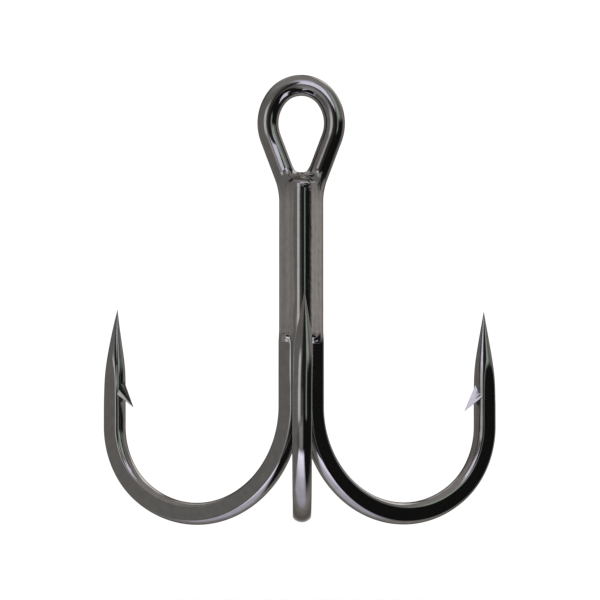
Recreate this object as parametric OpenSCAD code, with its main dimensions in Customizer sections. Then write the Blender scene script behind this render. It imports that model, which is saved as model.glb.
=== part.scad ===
// Treble fishing hook: a barbed double hook bent from one wire, whose middle
// forms the eye, and a barbed single hook brazed into the groove of its shanks.
//
// Frame: millimetres, +Z up. The origin is the centre of the eye, at its widest
// height and in the plane of the double hook's wire. The single hook points
// along -Y and the double hook's points lie 120 degrees to each side of it.

/* [Wire] */
// Diameter of the drawn steel wire
wire_d = 1.2; // [1.1:0.05:1.25]
// Width of the wire in the plane of the bend where it is forged
forged_w = 1.27; // [1.25:0.01:1.27]
// Thickness of the wire across the bend where it is forged
forged_t = 1.03; // [0.9:0.01:1.1]
// Space between neighbouring shanks, filled with braze
braze_gap = 0.1; // [0.07:0.01:0.12]

/* [Eye] */
// Centre-line radius of the eye's crown
crown_r = 1.77; // [1.7:0.01:1.9]
// Centre-line radius of the eye's sides
side_r = 2.26; // [2.2:0.02:2.5]
// Length of the straight legs that run down from the eye
leg_l = 2.3; // [2.2:0.05:2.4]
// Depth of the braze web's top edge below the eye's centre
web_top = 2.82; // [2.7:0.02:3]

/* [Shanks] */
// Depth of the single hook's upper end below the eye's centre
single_top = 3.55; // [3.5:0.05:3.8]
// Depth at which the forged flats begin
forge_start = 12.6; // [12:0.05:13.5]
// Length of the ramp that leads into the forged flats
forge_ramp = 0.3; // [0.2:0.05:0.5]

/* [Bend] */
// Depth of the centre of the round bend
bend_depth = 16.08; // [15.5:0.01:16.5]
// Centre-line radius of the round bend
bend_r = 6.04; // [5.8:0.01:6.3]
// Centre-line radius of the tighter bend below the point
corner_r = 4.84; // [4.6:0.01:5]

/* [Point and barb] */
// Depth of the points below the eye's centre
point_depth = 10.35; // [10:0.05:10.6]
// Distance that the point lies inside the line of its leg
point_inset = 0.12; // [0.05:0.01:0.25]
// Half of the cone angle of the point, in degrees
point_angle = 8.6; // [8:0.2:12]
// Lean of the point's cone towards the shank, in degrees
point_lean = 2.6; // [1:0.2:4]
// Distance of the barb's tip below the point
barb_drop = 5.6; // [5.5:0.05:5.9]
// Distance that the barb stands off the wire
barb_reach = 0.62; // [0.4:0.02:0.7]

/* [Hidden] */
$fn = 96;

plating = [0.22, 0.22, 0.24];
braze_plating = [0.30, 0.29, 0.30];

wire_r = wire_d / 2;
// Centre to centre distance of neighbouring shanks, and the height of their triangle
spacing = wire_d + braze_gap;
stack_h = spacing * sqrt(3) / 2;
// Shank centres in plan: the double hook's left and right, then the single hook's
left_xy = [-spacing / 2, 0];
right_xy = [spacing / 2, 0];
single_xy = [0, -stack_h];

// Unit directions with short decimals, so that neighbouring stretches meet exactly
crown_end = [0.8, 0.6];
leg_side = [0.936, -0.352];
corner_start = [0.6, -0.8];

// Eye, in its own plane: x to the right and y up
crown_c = [0, crown_end[1] * (side_r - crown_r)];
side_c = [-crown_end[0] * (side_r - crown_r), 0];
leg_top = side_c + side_r * leg_side;
leg_dir = [leg_side[1], -leg_side[0]];
leg_end = leg_top + leg_l * leg_dir;
neck_r = (leg_end[0] - right_xy[0]) / (1 - leg_side[0]);
neck_c = [right_xy[0] + neck_r, leg_end[1] + neck_r * leg_side[1]];
neck_depth = -neck_c[1];

// Bend, in its own plane: x outwards from the shank's axis and y up
bend_c = [bend_r, -bend_depth];
corner_c = bend_c + (bend_r - corner_r) * corner_start;
leg_x = corner_c[0] + corner_r;
leg_y = corner_c[1];
inner_x = leg_x - forged_w / 2;
point_at = [leg_x - point_inset, -point_depth];
barb_tip = [inner_x - barb_reach, -point_depth - barb_drop];
barb_root_w = 0.7;
barb_tip_w = 0.06;
reach = 40;
tiny = 0.01;

// Concave fillets of the braze seams
seam_fillet_r = 1.6;
seam_sag = 0.12;
groove_h = wire_r * 0.92;
right_out = groove_h * [sqrt(3) / 2, -0.5];
left_out = groove_h * [-sqrt(3) / 2, -0.5];
web_t = 0.84;
web_notch_r = 0.5;
bead_h = 0.75;
bead_hollow_r = 1.3;
bead_rim = 0.1;
bead_step = 0.03;

// Stretch of a bent wire about the origin of its plane. The child is the wire's
// section, and dirs lists unit directions from the centre, at most a quarter apart.
module bent(radius, dirs) {
    intersection() {
        rotate_extrude() translate([radius, 0]) children();
        linear_extrude(wire_d * 2, center = true)
            polygon(concat([[0, 0]], [for (d = dirs) reach * d]));
    }
}

// Straight stretch of wire from a point of the plane along a direction
module straight(from, dir, length) {
    translate([from[0], from[1], 0])
        rotate([0, 0, atan2(dir[1], dir[0])])
            rotate([90, 0, 90])
                linear_extrude(length) children();
}

module round_section() {
    circle(wire_r);
}

module forged_section() {
    intersection() {
        circle(forged_w / 2);
        square([forged_w * 2, forged_t], center = true);
    }
}

// Section of the forged leg for stretches that run straight up or down
module forged_straight(from, length) {
    straight(from, [0, 1], length) forged_section();
}

// One half of the eye, from the middle of its crown to the start of the shank
module eye_half() {
    translate(side_c) bent(side_r, [crown_end, [1, 0], leg_side]) round_section();
    straight(leg_top, leg_dir, leg_l) round_section();
    translate(neck_c) bent(neck_r, [-leg_side, [-1, 0]]) round_section();
}

module eye() {
    translate(crown_c)
        bent(crown_r, [crown_end, [0, 1], [-crown_end[0], crown_end[1]]]) round_section();
    eye_half();
    mirror([1, 0, 0]) eye_half();
}

// Round shank that ends in the two ramps down to the forged flats
module shank(top) {
    length = forge_start - top;
    difference() {
        straight([0, -forge_start], [0, 1], length) round_section();
        for (side = [-1, 1])
            translate([-wire_d, -forge_start, 0])
                rotate([0, 90, 0]) linear_extrude(wire_d * 2)
                    polygon([
                        [side * forged_t / 2, -tiny], [side * wire_d, -tiny],
                        [side * wire_d, forge_ramp], [side * wire_r, forge_ramp],
                        [side * forged_t / 2, 0]
                    ]);
    }
}

// Cone that the point is ground to, large enough lower down to hold the whole leg
module point_cone() {
    translate([point_at[0], point_at[1], 0])
        rotate([0, 0, -point_lean])
            rotate([90, 0, 0]) cylinder(r1 = 0, r2 = 9 * tan(point_angle), h = 9);
}

// Barb: a blade cut up from the inner side of the leg, narrowing to its tip
module barb() {
    root_x = inner_x + 0.2;
    intersection() {
        linear_extrude(wire_d, center = true)
            polygon([
                [root_x, barb_tip[1] + 1.9], [inner_x + 0.03, barb_tip[1] + 1.35], barb_tip,
                [inner_x + 0.05, barb_tip[1] + 0.55], [root_x, barb_tip[1] + 0.6]
            ]);
        translate([0, barb_tip[1] + 3, 0])
            rotate([90, 0, 0]) linear_extrude(6)
                polygon([
                    [root_x + tiny, barb_root_w / 2], [root_x + tiny, -barb_root_w / 2],
                    [barb_tip[0] - tiny, -barb_tip_w / 2], [barb_tip[0] - tiny, barb_tip_w / 2]
                ]);
    }
}

// Everything of one hook below its round shank, in the plane of its bend
module hook_end() {
    forged_straight([0, -bend_depth], bend_depth - forge_start);
    translate(bend_c) bent(bend_r, [[-1, 0], [0, -1], corner_start]) forged_section();
    translate(corner_c) bent(corner_r, [corner_start, [1, 0]]) forged_section();
    intersection() {
        forged_straight([leg_x, leg_y], 9);
        point_cone();
    }
    barb();
}

// Turns a shape drawn in the plane of a bend upright, about a shank at the
// given place in plan and pointing in the given direction
module upright(at, heading) {
    translate([at[0], at[1], 0])
        rotate([0, 0, heading])
            rotate([90, 0, 0]) children();
}

module double_hook_wire() {
    color(plating) {
        rotate([90, 0, 0]) eye();
        upright(right_xy, 30) {
            shank(neck_depth);
            hook_end();
        }
        upright(left_xy, 150) {
            shank(neck_depth);
            hook_end();
        }
    }
}

module single_hook_wire() {
    color(plating)
        upright(single_xy, -90) {
            shank(single_top);
            hook_end();
        }
}

module shank_circles(r) {
    for (at = [left_xy, right_xy, single_xy])
        translate(at) circle(r);
}

// Filler that capillary action drew into the channel between the three shanks
module braze_core() {
    color(braze_plating)
        translate([0, 0, -forge_start])
            linear_extrude(forge_start - neck_depth)
                difference() {
                    polygon([left_xy, right_xy, single_xy]);
                    shank_circles(wire_r);
                }
}

// Round clearance that gives the filler's surface its concave face, drawn for
// two shanks on the x axis and their groove on the side of +y
module hollow() {
    translate([0, wire_r - seam_sag + seam_fillet_r]) circle(seam_fillet_r);
}

module groove() {
    difference() {
        translate([-spacing / 2, 0]) square([spacing, groove_h]);
        hollow();
    }
}

// Moves a shape drawn for the back groove to the groove at the given side
module at_groove(side) {
    translate([side * spacing / 4, -stack_h / 2]) rotate(-side * 120) children();
}

module seam() {
    color(braze_plating)
        translate([0, 0, -forge_start])
            linear_extrude(forge_start - neck_depth)
                difference() {
                    children();
                    shank_circles(wire_r);
                }
}

module braze_seam_back() {
    seam() groove();
}

module braze_seam_left() {
    seam() at_groove(-1) groove();
}

module braze_seam_right() {
    seam() at_groove(1) groove();
}

// Filler that closes the foot of the eye between its two legs
module braze_eye_web() {
    foot = [right_xy[0], -neck_depth];
    color(braze_plating)
        rotate([90, 0, 0])
            difference() {
                linear_extrude(web_t, center = true)
                    polygon([
                        [-leg_end[0], -web_top + 0.3], [leg_end[0], -web_top + 0.3],
                        foot, [-foot[0], foot[1]]
                    ]);
                eye();
                translate([0, web_notch_r - web_top, 0])
                    cylinder(r = web_notch_r, h = wire_d * 2, center = true);
            }
}

// Filler that wets the single hook's cut end and runs up in front of the web
module braze_end_bead() {
    color(braze_plating)
        difference() {
            translate([0, 0, -neck_depth]) {
                linear_extrude(neck_depth - single_top + bead_h)
                    difference() {
                        polygon([
                            left_xy, right_xy, right_xy + right_out,
                            single_xy + right_out, single_xy + left_out, left_xy + left_out
                        ]);
                        at_groove(-1) hollow();
                        at_groove(1) hollow();
                    }
                translate(single_xy)
                    cylinder(r = wire_r - bead_step, h = neck_depth - single_top + bead_h);
            }
            rotate([90, 0, 0]) eye();
            translate([single_xy[0], single_xy[1], -neck_depth - tiny])
                cylinder(r = wire_r, h = neck_depth - single_top + tiny);
            translate([-wire_d, -web_t / 2, -neck_depth - tiny])
                cube([wire_d * 2, wire_d, neck_depth]);
            translate([0, -stack_h - 0.75, bead_hollow_r + bead_rim - single_top])
                sphere(bead_hollow_r);
        }
}

double_hook_wire();
single_hook_wire();
braze_core();
braze_seam_left();
braze_seam_right();
braze_seam_back();
braze_eye_web();
braze_end_bead();
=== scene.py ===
import math

import bmesh
import bpy
import numpy as np
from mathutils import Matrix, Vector


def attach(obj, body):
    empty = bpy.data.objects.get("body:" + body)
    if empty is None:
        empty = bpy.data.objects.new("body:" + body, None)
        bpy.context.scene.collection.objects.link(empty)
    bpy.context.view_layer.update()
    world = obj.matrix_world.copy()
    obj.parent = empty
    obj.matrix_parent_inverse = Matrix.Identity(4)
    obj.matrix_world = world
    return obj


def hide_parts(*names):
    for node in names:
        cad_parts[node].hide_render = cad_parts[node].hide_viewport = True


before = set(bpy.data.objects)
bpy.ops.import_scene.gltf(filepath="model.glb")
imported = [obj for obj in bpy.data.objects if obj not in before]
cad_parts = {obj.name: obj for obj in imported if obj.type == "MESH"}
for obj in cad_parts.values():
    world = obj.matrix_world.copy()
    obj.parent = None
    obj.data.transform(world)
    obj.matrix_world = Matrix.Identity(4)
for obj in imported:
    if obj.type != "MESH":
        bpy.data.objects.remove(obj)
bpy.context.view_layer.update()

MM = 0.001

# Sizes in millimetres, the same as in the CAD part.
WIRE_R = 0.6
FORGED_R = 0.635
FORGED_T = 0.515
SPACING = 1.3
STACK = SPACING * math.sqrt(3) / 2
FORGE_START = 12.58
FORGE_RAMP = 0.85
SINGLE_TOP = 3.48
POINT_DEPTH = 10.35

# The eye: radii of its crown and sides, length of its legs, the sine and cosine of their
# slope, and how far the whole eye is lowered to sit inside the CAD model's box.
CROWN_R = 1.745
SIDE_R = 2.42
EYE_LEG = 2.3
EYE_SIN, EYE_COS = 0.352, 0.936
EYE_DROP = 0.093

# The turns of a 3-4-5 triangle, with which the bends and the crown are laid out.
TURN_A = math.atan2(0.8, 0.6)
TURN_B = math.atan2(0.6, 0.8)

# Length of the ground part of each leg, the soft edge of the forged flats as an exponent,
# and the rounding of the single wire's cut end.
GROUND = 6.4
FLAT_EDGE = 34.0
CUT_EDGE = 0.17

# How each hook differs from the drawing: round bend's radius and depth, tighter bend's
# radius, and how far its point is lower.
RIGHT_TWEAK = (5.96, 16.13, 4.83, 0.12)
LEFT_TWEAK = (6.04, 16.07, 4.83, 0.0)
FRONT_TWEAK = (6.0, 16.09, 4.8, -0.02)


# ---------------------------------------------------------------- paths

class Path2:
    """A path in a plane, as points with unit tangents, made of lines and arcs."""

    def __init__(self, at, heading):
        self.p = np.array(at, float)
        self.a = heading
        self.points = []
        self.tangents = []

    def add(self):
        self.points.append(self.p.copy())
        self.tangents.append(np.array([math.cos(self.a), math.sin(self.a)]))

    def line(self, length, step):
        n = max(1, int(math.ceil(length / step)))
        d = np.array([math.cos(self.a), math.sin(self.a)])
        for _ in range(n):
            self.add()
            self.p = self.p + d * length / n
        return self

    def arc(self, radius, turn, step):
        """Turns by the given angle, to the left when it is positive."""
        n = max(1, int(math.ceil(abs(turn) * radius / step)))
        side = math.copysign(1.0, turn)
        left = np.array([-math.sin(self.a), math.cos(self.a)]) * side
        c = self.p + left * radius
        a0 = self.a
        for i in range(n):
            self.add()
            self.a = a0 + turn * (i + 1) / n
            left = np.array([-math.sin(self.a), math.cos(self.a)]) * side
            self.p = c - left * radius
        return self

    def end(self):
        self.add()
        return np.array(self.points), np.array(self.tangents)


def hook_path(top, bend_r, bend_depth, corner_r, tip_drop):
    """Shank, bend and leg: x outwards from the shank's axis, y up."""
    q = Path2([0, -top], 1.5 * math.pi)
    q.line(FORGE_START - FORGE_RAMP - top, 0.35)
    q.line(FORGE_RAMP + 0.06, 0.03)
    q.line(bend_depth - FORGE_START - 0.06, 0.2)
    q.arc(bend_r, math.pi - TURN_A, 0.2)
    q.arc(corner_r, TURN_A, 0.18)
    leg = -POINT_DEPTH - tip_drop - q.p[1]
    # The steps get shorter towards the point.
    q.line(leg - GROUND, 0.1)
    q.line(GROUND - 1.0, 0.06)
    q.line(0.8, 0.04)
    q.line(0.2, 0.02)
    return q.end()


# ---------------------------------------------------------------- sections

def ring_angles():
    """Angles round the wire, closer together where the forged corners are."""
    corner = math.degrees(math.asin(FORGED_T / FORGED_R))
    quarter = list(np.linspace(0, corner - 9, 9, endpoint=False))
    quarter += list(np.linspace(corner - 9, corner + 9, 12, endpoint=False))
    quarter += list(np.linspace(corner + 9, 90, 5, endpoint=False))
    quarter = np.array(quarter)
    half = np.concatenate([quarter, 180 - quarter[::-1][:-1]])
    half = np.insert(half, len(quarter), 90.0)
    full = np.concatenate([half, half + 180])
    return np.radians(np.unique(np.round(full, 4)))


ANGLES = ring_angles()
COS = np.cos(ANGLES)
SIN = np.sin(ANGLES)


def section(radius, flat):
    """Radius at each angle of a circle clipped by two flats, with soft corners."""
    a = (1.0 / radius) ** FLAT_EDGE
    b = (np.abs(SIN) / flat) ** FLAT_EDGE
    return (a + b) ** (-1.0 / FLAT_EDGE)


def smooth(x, lo, hi):
    """0 below lo and 1 above hi, with an even slope between them."""
    t = min(1.0, max(0.0, (x - lo) / (hi - lo)))
    return t * t * (3 - 2 * t)


# ---------------------------------------------------------------- meshes

def mesh_object(name, verts, faces):
    me = bpy.data.meshes.new(name)
    me.from_pydata([tuple(v) for v in np.asarray(verts) * MM], [], faces)
    me.validate()
    me.update()
    for f in me.polygons:
        f.use_smooth = True
    o = bpy.data.objects.new(name, me)
    bpy.context.scene.collection.objects.link(o)
    return o


def tube(rings):
    """Vertices and faces of a closed skin through rings of equal length."""
    m = len(rings[0])
    verts = [v for r in rings for v in r]
    faces = []
    for i in range(len(rings) - 1):
        a, b = i * m, (i + 1) * m
        for k in range(m):
            k2 = (k + 1) % m
            faces.append((a + k, a + k2, b + k2, b + k))
    verts.append(np.mean(rings[0], axis=0))
    first = len(verts) - 1
    for k in range(m):
        faces.append((first, (k + 1) % m, k))
    verts.append(np.mean(rings[-1], axis=0))
    last = len(verts) - 1
    a = (len(rings) - 1) * m
    for k in range(m):
        faces.append((last, a + k, a + (k + 1) % m))
    return verts, faces


def hook_rings(top, at, heading, tweak, tip_in=0.17, settle=1.3, settle_power=1.3,
               sway=0.0):
    """Rings of one hook from the top of its shank to its point.

    The ground point leans towards the shank by tip_in at its tip, which fades out at the
    depth settle, and sideways by sway.
    """
    pts, tans = hook_path(top, *tweak)
    h = math.radians(heading)
    out = np.array([math.cos(h), math.sin(h), 0.0])
    side = np.array([-math.sin(h), math.cos(h), 0.0])
    up = np.array([0.0, 0.0, 1.0])
    base = np.array([at[0], at[1], 0.0])
    leg_x, tip_y = pts[-1]
    rings = []
    for p2, t2 in zip(pts, tans):
        n2 = np.array([t2[1], -t2[0]])
        if t2[1] < -0.99:
            # On the shank the flats are forged in over a short ramp.
            depth = -p2[1]
            f = smooth(depth, FORGE_START - FORGE_RAMP, FORGE_START)
            lin = min(1.0, max(0.0, (depth - FORGE_START + FORGE_RAMP) / FORGE_RAMP))
            flat = WIRE_R * 1.02 + (FORGED_T - WIRE_R * 1.02) * lin
            radius = WIRE_R + (FORGED_R - WIRE_R) * f
        else:
            flat = FORGED_T
            radius = FORGED_R
        r = section(radius, flat)
        n = r * COS
        b = r * SIN
        if t2[1] > 0.999 and p2[1] > tip_y - GROUND:
            # The ground cone cuts the leg.
            x = p2[0] + n * n2[0]
            y = np.full_like(x, p2[1])
            drop = tip_y - p2[1]
            cx = leg_x - (tip_in / (1.0 + (drop / settle) ** settle_power)
                          * (1.0 - smooth(drop, 4.0, 6.3)))
            limit = cone_radius(drop) + 0.12 * max(0.0, drop - 5.0)
            off = x - cx
            dist = np.sqrt(off ** 2 + b ** 2)
            shrink = (1.0 + (dist / limit) ** 20) ** (-1.0 / 20)
            x = cx + off * shrink
            bb = b * shrink + sway * (1.0 - smooth(drop, 0.0, 6.0))
            # The chisel that raised the barb left a hollow under it.
            u = (drop - 4.75) / 1.7
            if 0.0 < u < 1.0:
                deep = 0.085 * (1.0 - smooth(u, 0.0, 1.0)) * smooth(u, 0.0, 0.12)
                x = x + np.where(x < leg_x, deep * np.exp(-(bb / 0.26) ** 4), 0.0)
            w = base + np.outer(x, out) + np.outer(y, up) + np.outer(bb, side)
        else:
            w = (base + np.outer(p2[0] + n * n2[0], out) + np.outer(p2[1] + n * n2[1], up)
                 + np.outer(b, side))
        rings.append(w)
    return rings


def cone_radius(drop):
    """Radius of the ground point below its tip; it runs out into the wire like an ogive."""
    x = 0.178 * drop
    return x / (1.0 + (x / 0.70) ** 5) ** 0.2 + 0.012


def eye_points(step=0.12):
    """The right half of the eye, from the shank's top up to the crown's middle."""
    side_cx = -0.8 * (SIDE_R - CROWN_R)
    leg_end = np.array([side_cx + SIDE_R * EYE_COS - EYE_SIN * EYE_LEG,
                        -EYE_SIN * SIDE_R - EYE_COS * EYE_LEG])
    neck_r = (leg_end[0] - SPACING / 2) / (1 - EYE_COS)
    neck_y = leg_end[1] - neck_r * EYE_SIN - EYE_DROP
    tilt = math.atan2(EYE_SIN, EYE_COS)
    q = Path2([SPACING / 2, neck_y], math.pi / 2)
    q.arc(neck_r, -tilt, step)
    q.line(EYE_LEG, step)
    q.arc(SIDE_R, tilt + TURN_B, step * 0.8)
    q.arc(CROWN_R, math.pi / 2 - TURN_B, step * 0.8)
    pts, tans = q.end()
    return pts, tans, neck_y


def build_double():
    """The double hook's wire, from its right point through the eye to its left point."""
    pts, tans, neck_y = eye_points()
    right = hook_rings(-neck_y, (SPACING / 2, 0), 30, RIGHT_TWEAK, 0.045, 3.9, 5)
    left = hook_rings(-neck_y, (-SPACING / 2, 0), 150, LEFT_TWEAK)
    right = right[::-1]
    # Angle of each vertex of the two shanks' top rings, as seen along the eye's path.
    first = right[-1] - right[-1].mean(axis=0)
    last = left[0] - left[0].mean(axis=0)
    start = np.unwrap(np.arctan2(first[:, 1], first[:, 0]))
    last_angle = np.arctan2(last[:, 1], -last[:, 0])
    finish = np.unwrap(last_angle)
    if np.sign(finish[-1] - finish[0]) != np.sign(start[-1] - start[0]):
        left = [r[::-1] for r in left]
        finish = np.unwrap(last_angle[::-1])
    # The left rings start at the vertex that needs the least twist.
    shift = np.argmin([np.abs(np.angle(np.exp(1j * (np.roll(finish, -k) - start)))).sum()
                       for k in range(len(start))])
    left = [np.roll(r, -shift, axis=0) for r in left]
    finish = np.unwrap(np.roll(finish, -shift))
    finish = start + np.angle(np.exp(1j * (finish - start)))
    path = list(pts) + [np.array([-p[0], p[1]]) for p in pts[::-1][1:]]
    along = list(tans) + [np.array([t[0], -t[1]]) for t in tans[::-1][1:]]
    eye = []
    for i, (p, t) in enumerate(zip(path, along)):
        f = i / (len(path) - 1)
        a = start * (1 - f) + finish * f
        normal = np.array([t[1], 0.0, -t[0]])
        c = np.array([p[0], 0.0, p[1]])
        eye.append(c + WIRE_R * (np.outer(np.cos(a), normal)
                                 + np.outer(np.sin(a), np.array([0.0, 1.0, 0.0]))))
    return tube(right[:-1] + eye + left[1:])


def build_single():
    """The single hook's wire, from its cut end to its point."""
    rings = hook_rings(SINGLE_TOP, (0, -STACK), -90, FRONT_TWEAK, sway=0.11)
    # A short rounded edge at the cut end.
    c = rings[0].mean(axis=0)
    top = []
    for k in range(4):
        a = math.radians(90 - 22.5 * k)
        top.append(c + (rings[0] - c) * (1 - CUT_EDGE / WIRE_R * (1 - math.cos(a)))
                   + np.array([0, 0, -CUT_EDGE * (1 - math.sin(a))]))
    return tube(top + [r for r in rings if r[:, 2].mean() < c[2] - CUT_EDGE - 0.01])


def barb(at, heading, leg_x, tip_z, side_at, corner_at, point_at):
    """A sliver that was cut up from the inner side of the leg.

    The three places are given for one side of the barb as the distance from the leg's
    centre line towards the shank, the distance across, and the depth below the point.
    """
    h = math.radians(heading)
    out = Vector((math.cos(h), math.sin(h), 0))
    side = Vector((-math.sin(h), math.cos(h), 0))
    base = Vector((at[0], at[1], 0))
    tip = np.array([point_at[0], 0.0, point_at[2]])
    crest = np.array([0.63, 0.0, side_at[2] - 0.26])
    shoulder = np.array(side_at)
    corner = np.array(corner_at)
    inner_crest = crest + 0.3 * (crest - tip)
    inner_shoulder = shoulder + 0.26 * (shoulder - tip)
    heel = np.array([corner[0] - 0.2, corner[1] * 0.5, corner[2] - 0.12])
    pts = [tip + (0, 0.012, 0), tip - (0, 0.012, 0), tip + (0, 0, 0.02), inner_crest]
    for p in (inner_shoulder, shoulder + (0.004, 0.002, 0), corner, heel):
        pts += [p, p * (1, -1, 1)]
    bm = bmesh.new()
    for p in pts:
        w = base + out * (leg_x - p[0]) + side * p[1] + Vector((0, 0, tip_z - p[2]))
        bm.verts.new(w * MM)
    hull = bmesh.ops.convex_hull(bm, input=bm.verts)
    stray = [v for v in hull["geom_interior"] + hull["geom_unused"] if v.is_valid]
    bmesh.ops.delete(bm, geom=list(set(stray)), context="VERTS")
    bmesh.ops.recalc_face_normals(bm, faces=bm.faces)
    me = bpy.data.meshes.new("barb")
    bm.to_mesh(me)
    bm.free()
    return bpy.data.objects.new("barb", me)


def weld(target, tools):
    """Unites the tool meshes with the target and keeps the creases sharp."""
    for o in tools:
        bpy.context.scene.collection.objects.link(o)
        m = target.modifiers.new("unite", "BOOLEAN")
        m.operation = "UNION"
        m.solver = "EXACT"
        m.object = o
    bpy.context.view_layer.update()
    dg = bpy.context.evaluated_depsgraph_get()
    me = bpy.data.meshes.new_from_object(target.evaluated_get(dg))
    target.modifiers.clear()
    target.data = me
    for o in tools:
        bpy.data.objects.remove(o)
    for f in me.polygons:
        f.use_smooth = True
    me.set_sharp_from_angle(angle=math.radians(24))


# ---------------------------------------------------------------- braze

def path_distance(points, x, z):
    """Distance from places in a plane to a polyline."""
    best = np.full(x.shape, 1e9)
    for a, b in zip(points[:-1], points[1:]):
        d = b - a
        t = np.clip(((x - a[0]) * d[0] + (z - a[1]) * d[1]) / (d @ d), 0, 1)
        best = np.minimum(best, np.hypot(x - a[0] - t * d[0], z - a[1] - t * d[1]))
    return best


def blend(a, b, k):
    """Union of two distance fields with a fillet of the given size."""
    h = np.maximum(k - np.abs(a - b), 0.0) / k
    return np.minimum(a, b) - h * h * k / 4


def noise(x, y, z, scale, seed):
    """Smooth random field between about -1 and 1."""
    rng = np.random.default_rng(seed)
    total = np.zeros(x.shape)
    for _ in range(9):
        d = rng.normal(size=3)
        d /= np.linalg.norm(d)
        f = 2 * math.pi / scale * rng.uniform(0.6, 1.6)
        total += np.sin((x * d[0] + y * d[1] + z * d[2]) * f + rng.uniform(0, 6.28))
    return total / 4.5


class Wires:
    """Distances to the skins of the three wires round the shank."""

    def __init__(self):
        pts = eye_points(0.2)[0]
        self.right = np.vstack([[SPACING / 2, -30.0], pts[pts[:, 1] < -1.6]])

    def legs(self, x, y, z):
        r = np.hypot(path_distance(self.right, x, z), y) - WIRE_R
        l = np.hypot(path_distance(self.right, -x, z), y) - WIRE_R
        return l, r

    def single(self, x, y, z):
        side = np.hypot(x, y + STACK) - WIRE_R
        top = z + SINGLE_TOP
        e = 0.15
        qx = np.maximum(side + e, 0)
        qz = np.maximum(top + e, 0)
        return np.minimum(np.maximum(side, top) + e, 0) + np.hypot(qx, qz) - e


def surface_net(f, origin, step):
    """Closed surface where a sampled field is zero; the field is positive outside."""
    inside = f < 0
    c = [inside[i:inside.shape[0] - 1 + i, j:inside.shape[1] - 1 + j,
                k:inside.shape[2] - 1 + k] for i in (0, 1) for j in (0, 1) for k in (0, 1)]
    count = sum(v.astype(int) for v in c)
    cells = np.argwhere((count > 0) & (count < 8))
    index = -np.ones(count.shape, int)
    index[tuple(cells.T)] = np.arange(len(cells))
    total = np.zeros((len(cells), 3))
    weight = np.zeros(len(cells))
    corners = np.array([(i, j, k) for i in (0, 1) for j in (0, 1) for k in (0, 1)])
    for a in range(8):
        for b in range(a + 1, 8):
            d = corners[b] - corners[a]
            if np.abs(d).sum() != 1:
                continue
            pa = cells + corners[a]
            pb = cells + corners[b]
            fa = f[tuple(pa.T)]
            fb = f[tuple(pb.T)]
            cut = (fa < 0) != (fb < 0)
            t = np.where(cut, fa / np.where(cut, fa - fb, 1.0), 0.0)
            total += np.where(cut[:, None], pa + t[:, None] * (pb - pa), 0.0)
            weight += cut
    verts = total / weight[:, None] * step + origin
    faces = []
    for axis in range(3):
        u, v = (axis + 1) % 3, (axis + 2) % 3
        lo = [slice(None)] * 3
        hi = [slice(None)] * 3
        lo[axis] = slice(0, -1)
        hi[axis] = slice(1, None)
        change = inside[tuple(lo)] != inside[tuple(hi)]
        at = np.argwhere(change)
        at = at[(at[:, u] > 0) & (at[:, v] > 0) & (at[:, u] < f.shape[u] - 1)
                & (at[:, v] < f.shape[v] - 1)]
        first = inside[tuple(at.T)]
        eu = np.eye(3, dtype=int)[u]
        ev = np.eye(3, dtype=int)[v]
        q = np.stack([index[tuple((at - eu - ev).T)], index[tuple((at - ev).T)],
                      index[tuple(at.T)], index[tuple((at - eu).T)]], axis=1)
        q = np.where(first[:, None], q, q[:, ::-1])
        faces.append(q)
    return verts, np.vstack(faces)


WIRES = Wires()
FILLET = 1.25


def drop_of(x, y, z, at, size):
    """Distance to a drop of filler, an ellipsoid with the given half axes."""
    return np.sqrt(((x - at[0]) / size[0]) ** 2 + ((y - at[1]) / size[1]) ** 2
                   + ((z - at[2]) / size[2]) ** 2) * min(size) - min(size)


def braze_field(x, y, z):
    """All of the filler, wires included."""
    left, right = WIRES.legs(x, y, z)
    single = WIRES.single(x, y, z)
    skin = np.minimum(np.minimum(left, right), single)
    fill = (np.maximum(skin - blend(left, right, FILLET), 0.0) ** 3
            + np.maximum(skin - blend(blend(left, right, 0.4), single, FILLET), 0.0) ** 3)
    # The filler runs out just above the forged flats, with an uneven edge.
    end = np.clip((-z - 11.95 - 0.10 * noise(x, y, z, 0.7, 8)) / 0.5, 0, 1)
    f = skin - np.cbrt(fill) * (1 - end * end * (3 - 2 * end))
    # The slope that runs down from the foot of the eye to the edge of the cut end.
    slope = -0.3725 * (y + 0.35) + 0.928 * (z + 2.98)
    flank = np.where(y < -STACK, np.hypot(x, y + STACK) - 0.5,
                     np.abs(x) - 0.5 - 0.4 * np.clip((y + STACK) / 0.6, 0, 1))
    f = blend(f, np.maximum.reduce([slope, flank, -3.75 - z, y + 0.25]), 0.2)
    f = blend(f, drop_of(x, y, z, (0.30, -1.60, -3.66), (0.26, 0.17, 0.20)), 0.12)
    f = blend(f, drop_of(x, y, z, (0.36, -0.90, -3.26), (0.17, 0.14, 0.11)), 0.2)
    f = blend(f, drop_of(x, y, z, (-0.80, -0.45, -2.92), (0.10, 0.13, 0.15)), 0.16)
    low = np.clip((-z - 4.0) / 2.0, 0, 1)
    f = f + 0.017 + (0.0015 + 0.0035 * low) * noise(x, y, z, 1.3, 3)
    f = f + low * 0.0025 * noise(x, y, z, 0.35, 5)
    return f, skin


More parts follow.
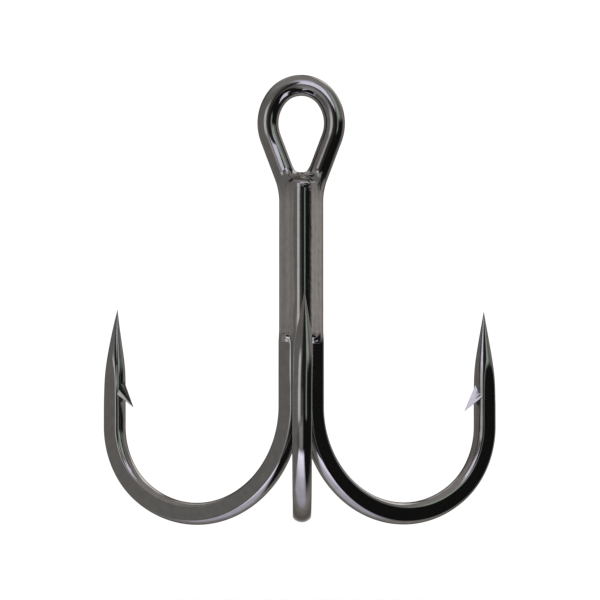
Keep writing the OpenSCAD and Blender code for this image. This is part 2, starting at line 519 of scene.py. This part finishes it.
def braze_piece(name, lo, hi, keep, sink, step=0.03):
    """One piece of the filler, inside a box and where the function keep is negative."""
    ends = np.array([lo, hi])
    lo = ends[0] - 3 * step
    n = np.ceil((np.array(hi) + 3 * step - lo) / step).astype(int) + 1
    axes = [lo[i] + step * np.arange(n[i]) for i in range(3)]
    x, y, z = np.meshgrid(*axes, indexing="ij")
    f, wires = braze_field(x, y, z)
    # Where a piece runs on under its neighbour it lies a hair lower.
    f = f + 0.006 * np.clip(sink(x, y, z) / 0.06, 0, 1)
    box = np.maximum.reduce([lo[0] + 3 * step - x, x - hi[0], lo[1] + 3 * step - y, y - hi[1],
                             lo[2] + 3 * step - z, z - hi[2]])
    f = np.maximum.reduce([f, box, keep(x, y, z), -(wires + 0.07)])
    v, q = surface_net(f, lo, step)
    for end in ends:
        v = np.where(np.abs(v - end) < 0.6 * step, end, v)
    return mesh_object(name, v, [tuple(int(k) for k in r) for r in q])


class Nodes:
    """A node tree, with short ways to add to it."""

    def __init__(self, tree):
        self.t = tree

    def new(self, kind):
        return self.t.nodes.new(kind)

    def link(self, a, b):
        self.t.links.new(a, b)

    def put(self, value, socket):
        if isinstance(value, (int, float)):
            socket.default_value = value
        else:
            self.link(value, socket)

    def math(self, op, a, b=None):
        n = self.new("ShaderNodeMath")
        n.operation = op
        self.put(a, n.inputs[0])
        if b is not None:
            self.put(b, n.inputs[1])
        return n.outputs[0]

    def ramp(self, value, lo, hi, to_lo=0.0, to_hi=1.0, kind="LINEAR"):
        """Goes from to_lo at the value lo to to_hi at the value hi."""
        n = self.new("ShaderNodeMapRange")
        n.interpolation_type = kind
        n.inputs["From Min"].default_value = lo
        n.inputs["From Max"].default_value = hi
        n.inputs["To Min"].default_value = to_lo
        n.inputs["To Max"].default_value = to_hi
        self.link(value, n.inputs["Value"])
        return n.outputs["Result"]

    def mixed(self, factor, a, b, kind="MIX"):
        """Mixes two colours."""
        n = self.new("ShaderNodeMix")
        n.data_type = "RGBA"
        n.blend_type = kind
        self.put(factor, n.inputs["Factor"])
        for color, socket in ((a, n.inputs[6]), (b, n.inputs[7])):
            if isinstance(color, tuple):
                socket.default_value = color + (1.0,)
            else:
                self.link(color, socket)
        return n.outputs[2]


class Metal(Nodes):
    """Black nickel: a dark mirror with slight haze, grain and cloudiness."""

    def __init__(self, name, rough, grain):
        self.material = bpy.data.materials.new(name)
        self.material.use_nodes = True
        super().__init__(self.material.node_tree)
        self.b = self.t.nodes["Principled BSDF"]
        self.b.inputs["Metallic"].default_value = 1.0
        self.b.inputs["Specular Tint"].default_value = (0.34, 0.33, 0.32, 1)
        self.co = self.new("ShaderNodeTexCoord").outputs["Object"]
        sep = self.new("ShaderNodeSeparateXYZ")
        self.link(self.co, sep.inputs[0])
        self.height = sep.outputs[2]
        fine = self.noise(9000, 4)
        self.link(self.scaled(fine, rough * 0.7, rough * 1.3), self.b.inputs["Roughness"])
        self.bump = None
        self.add_bump(fine, grain)

    def paint(self, color):
        """Sets the colour, a little uneven."""
        cloud = self.scaled(self.noise(2600, 3), 0.91, 1.09)
        self.link(self.mixed(1.0, color, cloud, "MULTIPLY"), self.b.inputs["Base Color"])

    def add_bump(self, height, distance, mask=None):
        bump = self.new("ShaderNodeBump")
        bump.inputs["Distance"].default_value = distance
        self.link(height, bump.inputs["Height"])
        if mask is not None:
            self.link(mask, bump.inputs["Strength"])
        if self.bump is not None:
            self.link(self.bump.outputs["Normal"], bump.inputs["Normal"])
        self.bump = bump
        self.link(bump.outputs["Normal"], self.b.inputs["Normal"])

    def height_mask(self, lo, hi, soft):
        """1 between two heights, 0 outside; the ends fade over the length soft."""
        return self.math("MULTIPLY", self.ramp(self.height, lo * MM, (lo + soft) * MM),
                         self.ramp(self.height, hi * MM, (hi - soft) * MM))

    def noise(self, scale, detail):
        n = self.new("ShaderNodeTexNoise")
        n.inputs["Scale"].default_value = scale
        n.inputs["Detail"].default_value = detail
        self.link(self.co, n.inputs["Vector"])
        return n.outputs["Fac"]

    def scaled(self, value, lo, hi):
        """Spreads the middle half of a noise over lo to hi."""
        return self.ramp(value, 0.25, 0.75, lo, hi)


NICKEL = (0.16, 0.157, 0.154)
LIGHTER_NICKEL = (0.235, 0.226, 0.22)

wire = Metal("black_nickel", 0.075, 2.5e-7)
wire.paint(NICKEL)
wire.add_bump(wire.noise(4200, 2), 1.8e-6, wire.height_mask(-12.4, -3.6, 0.4))
wire_mat = wire.material

braze = Metal("black_nickel_braze", 0.14, 6e-7)
# Below the foot of the eye the filler's plating is a little lighter.
low = braze.ramp(braze.height, -4.9 * MM, -3.3 * MM, 1.0, 0.0, "SMOOTHSTEP")
braze.paint(braze.mixed(low, NICKEL, LIGHTER_NICKEL))
braze.add_bump(braze.noise(3600, 3), 1.5e-6, braze.height_mask(-13.0, -3.6, 0.6))
braze_mat = braze.material

# ---------------------------------------------------------------- pieces

double_wire = mesh_object("double_hook", *build_double())
single_wire = mesh_object("single_hook", *build_single())


def leg_of(tweak):
    """Place of a hook's point: its distance from the shank, and its height."""
    return hook_path(0.0, *tweak)[0][-1]


rx, rz = leg_of(RIGHT_TWEAK)
lx, lz = leg_of(LEFT_TWEAK)
fx, fz = leg_of(FRONT_TWEAK)
weld(double_wire, [
    barb((SPACING / 2, 0), 30, rx, rz, (0.600, 0.170, 4.48), (0.372, 0.502, 4.86),
         (1.36, 0.0, 5.70)),
    barb((-SPACING / 2, 0), 150, lx, lz, (0.559, 0.290, 4.36), (0.420, 0.455, 4.86),
         (1.25, 0.0, 5.60)),
])
weld(single_wire, [
    barb((0, -STACK), -90, fx, fz, (0.59, 0.22, 4.42), (0.40, 0.48, 4.86), (1.28, 0.0, 5.62)),
])
for o, node in ((double_wire, "double_hook_wire"), (single_wire, "single_hook_wire")):
    o.data.materials.append(wire_mat)
    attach(o, "root")
    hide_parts(node)

# The filler is parted at the height FOOT_Z, and above it at the plane FRONT_Y. The lower
# and the hinder piece run on under their neighbour by the length UNDER.
FOOT_Z = -3.95
FRONT_Y = -0.62
UNDER = 0.15
# Places across the three grooves, measured along the directions in which they face.
GROOVES = [(-math.sqrt(3) / 2, -0.5), (math.sqrt(3) / 2, -0.5), (0.0, 1.0)]


def seam_keep(facing, side):
    """Keeps a seam out of the core, and on its own side of the plane x = 0."""
    def keep(x, y, z):
        out = x * facing[0] + (y + STACK / 3) * facing[1]
        across = side * x if side else np.full_like(x, -1.0)
        return np.maximum.reduce([0.30 - out, -12.5 - z, across])
    return keep


def seam_sink(x, y, z):
    return z - FOOT_Z + 0.06


def web_keep(x, y, z):
    return FRONT_Y - UNDER - y


def web_sink(x, y, z):
    return FRONT_Y - y + 0.06


def bead_keep(x, y, z):
    return y - FRONT_Y


def none_sink(x, y, z):
    return 0.0 * x


top = FOOT_Z + UNDER
pieces = {
    "braze_seam_left": ((-1.4, -1.80, -12.6), (0.0, -0.05, top),
                        seam_keep(GROOVES[0], 1.0), seam_sink),
    "braze_seam_right": ((0.0, -1.80, -12.6), (1.4, -0.05, top),
                         seam_keep(GROOVES[1], -1.0), seam_sink),
    "braze_seam_back": ((-0.8, 0.0, -12.6), (0.8, 0.62, top),
                        seam_keep(GROOVES[2], 0.0), seam_sink),
    "braze_eye_web": ((-1.5, FRONT_Y - UNDER, FOOT_Z), (1.5, 0.65, -2.4), web_keep, web_sink),
    "braze_end_bead": ((-1.5, -1.80, FOOT_Z), (1.5, FRONT_Y, -2.6), bead_keep, none_sink),
}
for node, (lo, hi, keep, sink) in pieces.items():
    o = braze_piece(node.replace("braze_", "filler_"), lo, hi, keep, sink)
    o.data.materials.append(braze_mat)
    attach(o, "root")
    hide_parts(node)
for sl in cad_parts["braze_core"].material_slots:
    sl.material = braze_mat


# ---------------------------------------------------------------- camera

def look(target, azimuth, elevation, distance, lens):
    """Adds the camera, which looks at a place from the given direction."""
    cam = bpy.data.cameras.new("camera")
    cam.sensor_width = 36.0
    cam.lens = lens
    cam.clip_start = 0.01
    cam.clip_end = 20.0
    o = bpy.data.objects.new("camera", cam)
    bpy.context.scene.collection.objects.link(o)
    a = math.radians(azimuth)
    e = math.radians(elevation)
    back = Vector((math.sin(a) * math.cos(e), -math.cos(a) * math.cos(e), math.sin(e)))
    o.location = Vector(target) + back * distance
    o.rotation_mode = "QUATERNION"
    o.rotation_quaternion = (-back).to_track_quat("-Z", "Y")
    bpy.context.scene.camera = o
    return o


camera = look((0, 0, -10.1 * MM), -0.3, -3.3, 274.7 * MM, 292.2)
camera.data.shift_x = -1.2 / 600

# ---------------------------------------------------------------- stage and light

def sheet(name, corners, material):
    me = bpy.data.meshes.new(name)
    me.from_pydata(corners, [], [(0, 1, 2, 3)])
    me.materials.append(material)
    o = bpy.data.objects.new(name, me)
    bpy.context.scene.collection.objects.link(o)
    return o


FLOOR_Z = -27.0 * MM
floor_mat = bpy.data.materials.new("floor")
floor_mat.use_nodes = True
matt = floor_mat.node_tree.nodes["Principled BSDF"]
matt.inputs["Base Color"].default_value = (0.98, 0.98, 0.98, 1)
matt.inputs["Roughness"].default_value = 1.0
matt.inputs["Specular IOR Level"].default_value = 0.0
floor = sheet("floor", [(-4, -4, FLOOR_Z), (4, -4, FLOOR_Z), (4, 4, FLOOR_Z), (-4, 4, FLOOR_Z)],
              floor_mat)
floor.visible_glossy = False


def step(tree, x, at, soft):
    """0 below the value, 1 above it."""
    return tree.ramp(x, at - soft / 2, at + soft / 2, kind="SMOOTHSTEP")


def band(tree, x, ends, soft):
    """1 between the two ends, 0 outside."""
    return tree.math("MULTIPLY", step(tree, x, ends[0], soft[0]),
                     tree.math("SUBTRACT", 1.0, step(tree, x, ends[1], soft[1])))


class Sky(Nodes):
    """The studio as it is seen in reflections: panels painted by direction.

    The azimuth is 0 towards the front and grows to the right; both angles are in degrees.
    """

    def __init__(self, tree, color, level):
        super().__init__(tree)
        sep = self.new("ShaderNodeSeparateXYZ")
        self.link(self.new("ShaderNodeTexCoord").outputs["Generated"], sep.inputs[0])
        right, behind, up = sep.outputs
        self.az = self.math("MULTIPLY", self.math("ARCTAN2", right,
                            self.math("MULTIPLY", behind, -1.0)), math.degrees(1))
        self.el = self.math("MULTIPLY", self.math("ARCSINE", up), math.degrees(1))
        self.turn = self.math("ABSOLUTE", self.az)
        base = self.new("ShaderNodeRGB")
        base.outputs[0].default_value = tuple(c * level for c in color) + (1.0,)
        self.color = base.outputs[0]

    def panel(self, color, level, az, el, soft_az=6.0, soft_el=6.0, back=False, opacity=1.0):
        """Paints a panel; each soft edge is one width, or one for each side."""
        sa = soft_az if isinstance(soft_az, tuple) else (soft_az, soft_az)
        se = soft_el if isinstance(soft_el, tuple) else (soft_el, soft_el)
        m = self.math("MULTIPLY", band(self, self.turn if back else self.az, az, sa),
                      band(self, self.el, el, se))
        if opacity != 1.0:
            m = self.math("MULTIPLY", m, opacity)
        self.color = self.mixed(m, self.color, tuple(c * level for c in color))


WARM = (1.03, 0.99, 0.96)
GREY = (1.0, 1.0, 1.0)
LAVENDER = (0.96, 0.93, 1.12)
GREEN = (0.86, 1.06, 0.92)

world = bpy.data.worlds.new("studio")
bpy.context.scene.world = world
world.use_nodes = True
world.node_tree.nodes.clear()
sky = Sky(world.node_tree, WARM, 0.60)
sky.panel(WARM, 0.95, (-300, 300), (42, 100), soft_el=20)
sky.panel(WARM, 1.1, (125, 300), (-70, 12), soft_az=30, soft_el=20, back=True)
sky.panel(WARM, 1.1, (100, 300), (-10, 25), soft_az=24, soft_el=16)
sky.panel(GREY, 0.30, (-60, -5), (-50, -14), soft_az=30, soft_el=14, opacity=0.7)
sky.panel(GREY, 2.4, (-45, -20), (-4, 17), soft_az=7, soft_el=(12, 8))
sky.panel(GREY, 1.05, (-32, 2), (-38, -8), soft_az=16, soft_el=14)
sky.panel(GREY, 0.03, (7, 105), (-64, 9), soft_az=(10, 34), soft_el=7)
sky.panel(GREY, 0.06, (-14, 33), (2, 31), soft_az=(30, 8), soft_el=8)
sky.panel(GREEN, 1.25, (32, 43), (-2, 9), soft_az=8, soft_el=5, opacity=0.9)
sky.panel(GREEN, 1.5, (35, 62), (9, 40), soft_az=8, soft_el=8)
sky.panel(LAVENDER, 2.2, (-12, 24), (36, 57), soft_az=(22, 10), soft_el=10)
sky.panel(GREY, 4.5, (128, 165), (20, 56), soft_az=14, soft_el=12)
sky.panel(GREY, 2.2, (-182, -140), (36, 58), soft_az=14, soft_el=12)
studio = sky.new("ShaderNodeBackground")
sky.link(sky.color, studio.inputs["Color"])
# Everything but reflections sees a plain white room.
room = sky.new("ShaderNodeBackground")
room.inputs["Color"].default_value = (1, 1, 1, 1)
room.inputs["Strength"].default_value = 1.08
mix = sky.new("ShaderNodeMixShader")
sky.link(sky.new("ShaderNodeLightPath").outputs["Is Glossy Ray"], mix.inputs[0])
sky.link(room.outputs[0], mix.inputs[1])
sky.link(studio.outputs[0], mix.inputs[2])
sky.link(mix.outputs[0], sky.new("ShaderNodeOutputWorld").inputs["Surface"])


def card(name, corners, color, level, one_sided=False, soft=0.0, far=1.0):
    """A light panel near the hooks, seen only in reflections.

    Its edges fade over the share `soft` of its size, and its light falls to the share
    `far` along its second side. A one-sided card is seen from its front only.
    """
    m = bpy.data.materials.new(name)
    m.use_nodes = True
    m.node_tree.nodes.clear()
    s = Nodes(m.node_tree)
    sep = s.new("ShaderNodeSeparateXYZ")
    s.link(s.new("ShaderNodeTexCoord").outputs["Generated"], sep.inputs[0])
    upright = corners[0][1] == corners[2][1]
    u, v = sep.outputs[0], sep.outputs[2 if upright else 1]
    e = s.new("ShaderNodeEmission")
    e.inputs["Color"].default_value = tuple(color) + (1.0,)
    e.inputs["Strength"].default_value = level
    if far != 1.0:
        drop = s.math("MULTIPLY", step(s, v, 0.42, 0.5), level * (1.0 - far))
        s.link(s.math("SUBTRACT", level, drop), e.inputs["Strength"])
    hidden = None
    if soft:
        ends = (soft / 2, 1 - soft / 2)
        shown = s.math("MULTIPLY", band(s, u, ends, (soft, soft)), band(s, v, ends, (soft, soft)))
        hidden = s.math("SUBTRACT", 1.0, shown)
    if one_sided:
        hidden = s.new("ShaderNodeNewGeometry").outputs["Backfacing"]
    light = s.new("ShaderNodeMixShader")
    s.link(hidden, light.inputs[0])
    s.link(e.outputs[0], light.inputs[1])
    s.link(s.new("ShaderNodeBsdfTransparent").outputs[0], light.inputs[2])
    s.link(light.outputs[0], s.new("ShaderNodeOutputMaterial").inputs["Surface"])
    o = sheet(name, [tuple(c * MM for c in v) for v in corners], m)
    o.visible_camera = False
    o.visible_diffuse = False
    o.visible_shadow = False
    o.visible_transmission = False


# Each card either has soft edges or is one-sided.
card("panel_below", [(-50, -70, -62), (22, -70, -62), (22, 24, -62), (-50, 24, -62)],
     LAVENDER, 4.8, soft=0.2, far=0.42)
card("panel_above", [(-0.8, -15, 3.3), (9.7, -15, 3.3), (9.7, -15, 16), (-0.8, -15, 16)],
     LAVENDER, 3.6, soft=0.1)
card("panel_eye", [(4.6, -12.8, -15), (15, -35, -15), (32.5, -18.3, -15), (10.9, -6.9, -15)],
     LAVENDER, 3.4, one_sided=True)
card("shade_eye", [(-4, -9, -5.6), (4.4, -9, -5.6), (4.4, -1.95, -5.6), (-4, -1.95, -5.6)],
     GREY, 0.03, one_sided=True)
card("panel_leg", [(-0.1, -3.2, -3.0), (-5.9, -21, -3.4), (-5.9, -21, -0.4),
                   (-0.1, -3.2, -0.6)], LAVENDER, 3.0, one_sided=True)
card("panel_right", [(4, -14, -10.6), (4, -2, -10.6), (4, -2, -0.5), (4, -14, -0.5)],
     LAVENDER, 3.6, one_sided=True)
card("panel_left", [(-4, -3, -6.6), (-4, -17, -6.6), (-4, -17, 3), (-4, -3, 3)],
     LAVENDER, 3.2, one_sided=True)
card("panel_barb", [(-8.9, -6, -14.7), (-4.6, -6, -14.7), (-4.6, -6, -10.2), (-8.9, -6, -10.2)],
     GREY, 2.6, soft=0.2, far=0.45)

view = bpy.context.scene.view_settings
view.view_transform = "Standard"
view.look = "None"
